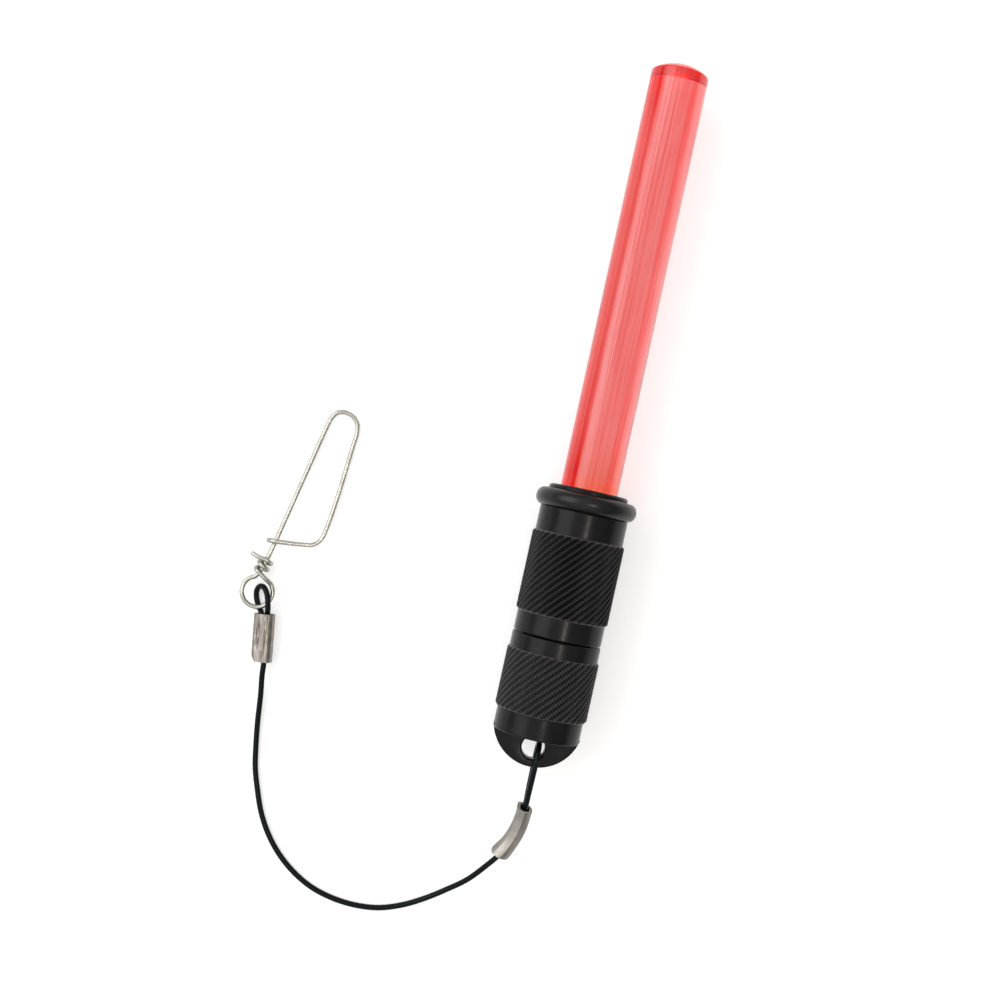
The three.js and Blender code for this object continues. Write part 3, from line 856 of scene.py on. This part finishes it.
def retainer():
    """The thin collar that holds the rod's flange in the head."""
    inner = ROD_R + 0.25 * MM
    rear_of_flange = COLLAR.front - COLLAR_THICK
    piece = turned("rod_retainer_turned", eased([
        (inner, COLLAR.rear),
        (COLLAR_SPIGOT_R, COLLAR.rear, 0.2 * MM),
        (COLLAR_SPIGOT_R, rear_of_flange, 0.1 * MM),
        (COLLAR.radius, rear_of_flange, 0.12 * MM),
        (COLLAR.radius, COLLAR.front - 0.4 * MM, 0.15 * MM),
        (COLLAR.radius - 0.4 * MM, COLLAR.front, 0.2 * MM),
        (inner + 0.25 * MM, COLLAR.front, 0.1 * MM),
        (inner, COLLAR.front - 0.25 * MM),
    ]), 192)
    return place(piece, "head", "black_anodised", "rod_retainer")


def o_ring(name, where, body, replaced, squeeze=0.0, around=160, sides=40):
    """A moulded rubber ring. squeeze is how far it bulges past its free section, front and rear."""
    section = (where.front - where.rear) / 2
    centre_r = where.radius - section
    station = where.rear + section
    widening = 1 + squeeze / section
    profile = []
    for radius, along in arc(centre_r, station, section, -180, 180, sides)[:-1]:
        profile.append((radius, station + (along - station) * widening))
    piece = turned(name, profile, around)
    return place(piece, body, "black_rubber", replaced)


# ---- knurled housing ----
def ridge(phase):
    """0 in a groove to 1 on its ridge, with a slightly flattened top."""
    flattening = 1.12
    wave = 1 - np.abs(2 * (phase % 1) - 1)
    return np.clip(wave * flattening, 0, 1)


def knurled(rear, front, rear_r, front_r, fine_starts):
    """A knurled band between two necks: right-rising grooves crossed by finer left-rising ones.
    Its chamfers cut the pattern off at both ends, and no groove is deeper than the necks."""
    around = FULL_TURN * HEAD.radius
    step = around / AROUND_HOUSING

    def pattern(angles, station):
        right = ridge(KNURL_STARTS * (angles / FULL_TURN - station / around))
        left = ridge(fine_starts * (angles / FULL_TURN + station / around))
        return KNURL_CUT * (1 - right) + FINE_CUT * (1 - left)

    def cut(angles, station):
        rear_cone = rear_r + (station - rear) / KNURL_CHAMFER * (HEAD.radius - rear_r)
        front_cone = front_r + (front - station) / KNURL_CHAMFER * (HEAD.radius - front_r)
        chamfer = max(0, HEAD.radius - min(rear_cone, front_cone))
        return np.clip(pattern(angles, station), chamfer, HEAD.radius - max(rear_r, front_r))

    count = round((front - rear) / step)
    rings = [(HEAD.radius, station, cut) for station in np.linspace(rear, front, count + 1)]
    neck_edge = 0.06 * MM  # keeps the necks beside the chamfers flat-shaded
    return [(rear_r, rear - neck_edge), *rings, (front_r, front + neck_edge)]


def threaded(rear, front, radius):
    """A helical thread that runs out at both ends, with flat crests and roots."""
    steps_per_turn = 9

    def groove(angles, station):
        wave = 1 - np.abs(2 * ((station / THREAD_PITCH - angles / FULL_TURN) % 1) - 1)
        flanks = np.clip(wave * 1.3 - 0.15, 0, 1)
        run_out = min(1, (station - rear) / THREAD_PITCH, (front - station) / THREAD_PITCH)
        return THREAD_DEPTH * flanks * max(0, run_out)

    count = round((front - rear) / THREAD_PITCH * steps_per_turn)
    return [(radius, station, groove) for station in np.linspace(rear, front, count + 1)]


def head_shell():
    """The front half of the housing: knurled outside, stepped and threaded inside."""
    collar_bore = COLLAR_SPIGOT_R + 0.3 * MM
    thread_front = LAMP_BORE_REAR - 2.9 * MM
    outside = eased([
        (SEAL_BORE_R, HEAD.rear),
        (HEAD_NECK_R, HEAD.rear, 0.25 * MM),
        (HEAD_NECK_R, HEAD_KNURL_REAR),
    ])
    neck = eased([
        (HEAD_NECK_R, HEAD_KNURL_FRONT),
        (HEAD_NECK_R, HEAD.front, 0.25 * MM),
        (collar_bore, HEAD.front, 0.2 * MM),
        (collar_bore, HEAD_SHOULDER),
        (LAMP_BORE_R, HEAD_SHOULDER, 0.15 * MM),
        (LAMP_BORE_R, LAMP_BORE_REAR),
        (BATTERY_BORE_R, LAMP_BORE_REAR),
        (BATTERY_BORE_R, thread_front),
        (THREAD_R + THREAD_CLEARANCE, thread_front),
    ])
    thread = threaded(SEAL_BORE_FRONT, thread_front, THREAD_R + THREAD_CLEARANCE)
    band = knurled(HEAD_KNURL_REAR, HEAD_KNURL_FRONT, HEAD_NECK_R, HEAD_NECK_R, HEAD_FINE_STARTS)
    profile = [*outside[:-1], *band, *neck[1:-1], *reversed(thread), (SEAL_BORE_R, SEAL_BORE_FRONT)]
    piece = turned("head_shell_knurled", profile, AROUND_HOUSING, 50)
    return place(piece, "head", "black_anodised", "head_shell")


def lug_tongue():
    """The flat lug: a half-round tongue whose edges and hole are rounded, closed round the hole."""
    around = 180
    round_over = 0.3 * MM
    hole_round = 0.45 * MM
    root = CAP_END + 1 * MM
    angles = np.arange(around) * FULL_TURN / around
    direction = np.stack([np.sin(angles), -np.cos(angles)], axis=1)
    half = LUG_THICK / 2
    rings = []

    def outline(inset):
        """Distance from the hole's middle to the tongue's edge, in each direction."""
        to_centre = LUG_CENTRE - LUG_HOLE
        along = direction[:, 1] * to_centre
        to_arc = along + np.sqrt(along**2 - to_centre**2 + (LUG_R - inset) ** 2)
        rise = np.maximum(direction[:, 1], 1e-6)
        return np.where(direction[:, 1] > 0, np.minimum(to_arc, (root - LUG_HOLE) / rise), to_arc)

    def add_ring(reach, height):
        ring = np.empty((around, 3))
        ring[:, 0] = direction[:, 0] * reach
        ring[:, 1] = LUG_HOLE + direction[:, 1] * reach
        ring[:, 2] = AXIS_Z + height
        rings.append(ring)

    quarter = np.radians(np.linspace(0, 90, 6))
    for a in quarter:
        add_ring(outline(round_over * (1 - math.cos(a))), half - round_over * (1 - math.sin(a)))
    for a in reversed(quarter):
        add_ring(LUG_HOLE_R + hole_round * (1 - math.cos(a)), half - hole_round * (1 - math.sin(a)))
    for a in quarter:
        add_ring(LUG_HOLE_R + hole_round * (1 - math.cos(a)), hole_round * (1 - math.sin(a)) - half)
    for a in reversed(quarter):
        add_ring(outline(round_over * (1 - math.cos(a))), round_over * (1 - math.sin(a)) - half)
    return lofted("lug_tongue", np.array(rings), closed=True)


def tail_cap():
    """The rear half of the housing: knurled, threaded at its front, with the lug joined to its end."""
    outside = eased([
        (0, CAP_END),
        (CAP_TAIL_R, CAP_END, 0.3 * MM),
        (CAP_TAIL_R, CAP_KNURL_REAR),
    ])
    neck = eased([
        (CAP_NECK_R, CAP_KNURL_FRONT),
        (CAP_NECK_R, CAP_SEAM, 0.3 * MM),
        (CAP_SEAL_GROOVE_R, CAP_SEAM, 0.12 * MM),
        (CAP_SEAL_GROOVE_R, CAP_SEAL_GROOVE_FRONT, 0.12 * MM),
        (THREAD_R, CAP_SEAL_GROOVE_FRONT, 0.1 * MM),
    ])
    bore = eased([
        (THREAD_R, CAP.front - 0.3 * MM),
        (THREAD_R - 0.3 * MM, CAP.front, 0.1 * MM),
        (BATTERY_BORE_R, CAP.front, 0.15 * MM),
        (BATTERY_BORE_R, CAP_FLOOR, 0.2 * MM),
        (0, CAP_FLOOR),
    ])
    thread = threaded(CAP_SEAL_GROOVE_FRONT + 0.1 * MM, CAP.front - 0.3 * MM, THREAD_R)
    band = knurled(CAP_KNURL_REAR, CAP_KNURL_FRONT, CAP_TAIL_R, CAP_NECK_R, CAP_FINE_STARTS)
    profile = [*outside[:-1], *band, *neck[1:-1], *thread, *bore[1:]]
    piece = turned("tail_cap_knurled", profile, AROUND_HOUSING, 50)
    tongue = lug_tongue()
    join = piece.modifiers.new("join", "BOOLEAN")
    join.operation = "UNION"
    join.solver = "MANIFOLD"
    join.object = tongue
    apply_modifiers(piece)
    bpy.data.objects.remove(tongue)
    piece.data.set_sharp_from_angle(angle=math.radians(50))
    return place(piece, "cap", "black_anodised", "tail_cap")


def apply_modifiers(piece):
    """Bake a piece's modifiers into its mesh."""
    evaluated = piece.evaluated_get(bpy.context.evaluated_depsgraph_get())
    mesh = bpy.data.meshes.new_from_object(evaluated)
    piece.modifiers.clear()
    piece.data = mesh


# ---- lamp ----
def led():
    """A 5 mm lamp: domed lens, and a rim with the flat that marks one of its leads."""
    rim_front = LED.rear + 1 * MM
    lens_r = 2.5 * MM
    flat = 0.35 * MM
    edge = 0.1 * MM

    def flat_side(angles, station):
        across = LED.radius * np.cos(angles)
        return np.maximum(0, across - (LED.radius - flat)) * 0.98

    piece = turned("led_emitter_lens", [
        (0, LED.rear),
        (LED.radius - edge, LED.rear, flat_side),
        (LED.radius, LED.rear + edge, flat_side),
        (LED.radius, rim_front - edge, flat_side),
        (LED.radius - edge, rim_front, flat_side),
        (lens_r, rim_front),
        *arc(0, LED.front - lens_r, lens_r, 0, 90, 20),
    ])
    return place(piece, "head", "led_lens", "led_emitter")


def holder():
    """The white cup that holds the lamp, with a flared mouth."""
    inner = 2.75 * MM
    piece = turned("led_holder_moulded", eased([
        (inner, HOLDER.rear),
        (HOLDER.radius, HOLDER.rear, 0.25 * MM),
        (HOLDER.radius, HOLDER.front, 0.3 * MM),
        (inner + 1.6 * MM, HOLDER.front, 0.1 * MM),
        (inner + 0.1 * MM, HOLDER.front - 1.3 * MM, 0.1 * MM),
        (inner, HOLDER.front - 1.5 * MM),
    ]))
    return place(piece, "head", "white_plastic", "led_holder")


def board():
    """The lamp's round circuit board."""
    piece = turned("led_board_etched", eased([
        (0, BOARD.rear),
        (BOARD.radius, BOARD.rear, 0.08 * MM),
        (BOARD.radius, BOARD.front, 0.08 * MM),
        (0, BOARD.front),
    ]))
    return place(piece, "head", "board_green", "led_board")


def resistor():
    """A chip resistor: a bevelled block whose two ends are tinned."""
    low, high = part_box("led_resistor")
    size = high - low
    bare_half = 0.28  # of its length: the black part's half, and the rest is tinned
    work = bmesh.new()
    bmesh.ops.create_cube(work, size=1, matrix=Matrix.Diagonal((*size, 1)))
    bmesh.ops.bevel(work, geom=work.edges[:], offset=0.08 * MM, segments=3, profile=0.5, affect="EDGES")
    for share in (-bare_half, bare_half):
        everything = work.verts[:] + work.edges[:] + work.faces[:]
        bmesh.ops.bisect_plane(work, geom=everything, plane_co=(size.x * share, 0, 0), plane_no=(1, 0, 0))
    work.transform(Matrix.Translation((low + high) / 2))
    mesh = bpy.data.meshes.new("led_resistor_chip")
    work.to_mesh(mesh)
    work.free()
    piece = add_object("led_resistor_chip", mesh)
    place(piece, "head", "resistor_black", "led_resistor")
    mesh.materials.append(LOOKS["cell_steel"])
    middle = (low.x + high.x) / 2
    for face in mesh.polygons:
        if abs(face.center.x - middle) > size.x * bare_half:
            face.material_index = 1
    return piece


def contact():
    """The board's pressed contact, which the first cell touches."""
    piece = turned("board_contact_pressed", eased([
        (0, CONTACT.rear),
        (1.2 * MM, CONTACT.rear, 0.15 * MM),
        (CONTACT.radius, CONTACT.front - 0.4 * MM, 0.15 * MM),
        (CONTACT.radius, CONTACT.front, 0.1 * MM),
        (0, CONTACT.front),
    ]))
    return place(piece, "head", "gold_contact", "board_contact")


# ---- batteries ----
def button_cell(number, where):
    """A button cell: crimped can, insulating groove and the smaller cap behind it."""
    cap_r = where.radius - 0.9 * MM
    rim_r = 4.6 * MM
    sunk = 0.06 * MM
    piece = turned(f"button_cell_{number}_steel", eased([
        (0, where.rear),
        (cap_r, where.rear, 0.25 * MM),
        (cap_r, where.rear + 0.4 * MM, 0.08 * MM),
        (where.radius - 0.3 * MM, where.rear + 0.4 * MM, 0.12 * MM),
        (where.radius, where.rear + 0.7 * MM, 0.2 * MM),
        (where.radius, where.front, 0.35 * MM),
        (rim_r, where.front, 0.05 * MM),
        (rim_r - 0.1 * MM, where.front - sunk, 0.04 * MM),
        (0, where.front - sunk),
    ]))
    return place(piece, "battery_stack", "cell_steel", f"button_cell_{number}")


def sleeve():
    """Shrink film round the cells, drawn in a little between them."""
    inner = 6 * MM
    drawn = 0.1 * MM
    waist = 0.06  # share of a cell's pitch over which the film is drawn in
    pitch = CELLS[0].front - CELLS[1].front

    def drawn_in(angles, station):
        phase = (CELLS[0].front - station) / pitch % 1
        near = min(phase, 1 - phase)
        return np.full(len(angles), drawn * math.exp(-((near / waist) ** 2)))

    stations = np.linspace(SLEEVE.rear, SLEEVE.front, 90)
    outside = [(SLEEVE.radius, station, drawn_in) for station in stations]
    inside = [(inner, SLEEVE.front), (inner, SLEEVE.rear)]
    piece = turned("cell_sleeve_film", [*outside, *inside])
    return place(piece, "battery_stack", "sleeve_film", "cell_sleeve")


def spring_seat():
    """The pressed seat under the contact spring, dished in its middle."""
    piece = turned("spring_seat_pressed", eased([
        (0, SPRING_SEAT.rear),
        (SPRING_SEAT.radius, SPRING_SEAT.rear, 0.1 * MM),
        (SPRING_SEAT.radius, SPRING_SEAT.front, 0.1 * MM),
        (1.2 * MM, SPRING_SEAT.front, 0.1 * MM),
        (1 * MM, SPRING_SEAT.front - 0.15 * MM, 0.05 * MM),
        (0, SPRING_SEAT.front - 0.15 * MM),
    ]))
    return place(piece, "cap", "gold_contact", "spring_seat")


def spring():
    """A conical contact spring, wound from a wide base to a narrow top."""
    wire_r = 0.3 * MM
    base_r = 5 * MM
    narrowing = 2.4 * MM
    turns = 3.25
    points_per_turn = 12
    start = SPRING.rear + wire_r
    end = SPRING.front - wire_r
    route = []
    for t in np.linspace(0, 1, round(turns * points_per_turn) + 1):
        angle = FULL_TURN * turns * t
        radius = base_r - narrowing * t
        station = start + (end - start) * t
        route.append((radius * math.cos(angle), station, AXIS_Z + radius * math.sin(angle)))
    piece = swept("contact_spring_wire", curve_points(route, 0.4 * MM), wire_r, 16, True)
    return place(piece, "cap", "spring_steel", "contact_spring")


def stick():
    """Every piece of the light itself, without its lanyard."""
    rod()
    retainer()
    o_ring("bumper_o_ring_moulded", BUMPER, "head", "bumper_o_ring", 0.27 * MM, 256, 48)
    o_ring("rod_seal_moulded", ROD_SEAL, "head", "rod_seal_o_ring")
    head_shell()
    tail_cap()
    o_ring("cap_seal_moulded", CAP_SEAL, "cap", "cap_seal_o_ring")
    led()
    holder()
    board()
    resistor()
    contact()
    for number, where in enumerate(CELLS, 1):
        button_cell(number, where)
    sleeve()
    spring_seat()
    spring()


stick()


# ---- floor and light ----
def floor():
    """A pale light table, lit a little from below, so that shadows on it stay faint."""
    half = 4.0
    corners = [(-half, -half, 0), (half, -half, 0), (half, half, 0), (-half, half, 0)]
    mesh = bpy.data.meshes.new("floor")
    mesh.from_pydata(corners, [], [(0, 1, 2, 3)])
    piece = add_object("floor", mesh)
    material, tree, shader = finish("floor", {
        "Roughness": 0.9,
        "Specular IOR Level": 0.1,
        "Emission Strength": 0.45,
    })
    paper = ramp(tree, grain(tree, 2 * MM), (0.3, 0.74), (0.7, 0.76))
    link(tree, paper, shader, "Base Color")
    mesh.materials.append(material)


def panel(name, place_at, aim, width, height, watts, colour=(1, 1, 1)):
    """A soft rectangular lamp that faces a point."""
    light = bpy.data.lights.new(name, "AREA")
    light.shape = "RECTANGLE"
    light.size = width
    light.size_y = height
    light.energy = watts
    light.color = colour
    lamp = add_object(name, light)
    lamp.location = place_at
    beam = Vector(aim) - Vector(place_at)
    if beam.xy.length > 0:
        lamp.rotation_euler = beam.to_track_quat("-Z", "Y").to_euler()


def studio_world():
    """A pale dome over the table, dim near the horizon, so that round metal shows darker edges, and
    dimmer on the right, away from the lamp."""
    world = bpy.data.worlds.new("studio")
    world.use_nodes = True
    tree = world.node_tree
    direction = node(tree, "TexCoord").outputs["Generated"]
    split = node(tree, "SeparateXYZ", {0: direction})
    glow = ramp(tree, split.outputs["Z"], (0.04, 0.85), (0.11, 0.42), (0.3, 0.5), (0.55, 1.0))
    above_table = ramp(tree, split.outputs["Z"], (0.05, 0.0), (0.12, 1.0))
    dim_side = ramp(tree, split.outputs["X"], (0.1, 1.0), (0.6, 0.45))
    flagged = node(tree, "MixRGB", {0: above_table, 1: (1, 1, 1, 1), 2: dim_side}).outputs[0]
    background = tree.nodes["Background"]
    tree.links.new(multiplied(tree, glow, flagged), background.inputs["Color"])
    background.inputs["Strength"].default_value = 0.95
    bpy.context.scene.world = world


def lighting():
    """The studio's dome, a narrow strip high over the right side, and a big soft box on the left."""
    studio_world()
    bpy.context.scene.view_settings.view_transform = "Standard"
    panel("strip_over", (0.17, -0.08, 0.8), (0.17, -0.08, 0), 0.014, 0.12, 0.8, (1, 0.94, 0.84))
    panel("left_box", (-0.8, 0.15, 0.75), (0, -0.02, 0), 1.0, 0.8, 5)


floor()
lighting()
